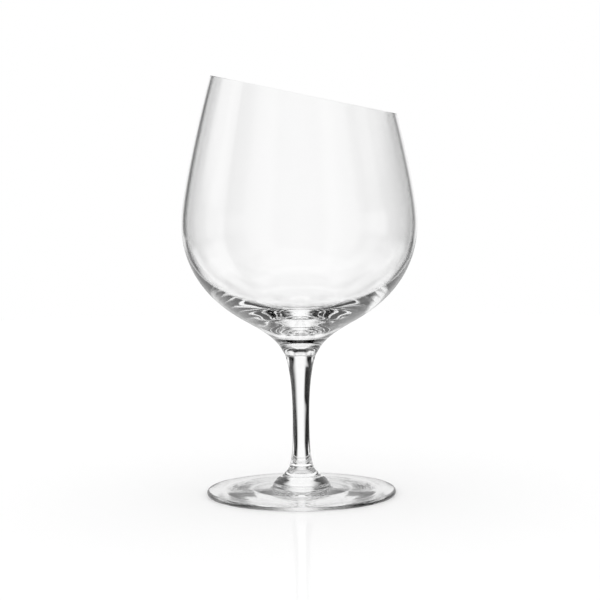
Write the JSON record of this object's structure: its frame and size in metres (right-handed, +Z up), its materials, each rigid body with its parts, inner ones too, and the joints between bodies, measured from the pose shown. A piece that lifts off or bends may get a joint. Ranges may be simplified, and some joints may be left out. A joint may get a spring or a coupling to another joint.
{
  "type": "gin glass",
  "caption": "Stemmed balloon gin glass in clear glass: thin blown bowl with a slanted lip, waisted solid stem and a round foot with a domed crown.",
  "frame": {"origin": "middle of the standing plane, under the foot, on the glass's axis", "axes": "+Z up along the stem, -X towards the high side of the slanted lip, +X towards its low side"},
  "size_m": [0.108, 0.108, 0.193],
  "materials": {
    "clear_glass": "clear, polished"
  },
  "bodies": {
    "root": {"bowl": "clear_glass", "stem": "clear_glass", "foot": "clear_glass"}
  },
  "joints": []
}
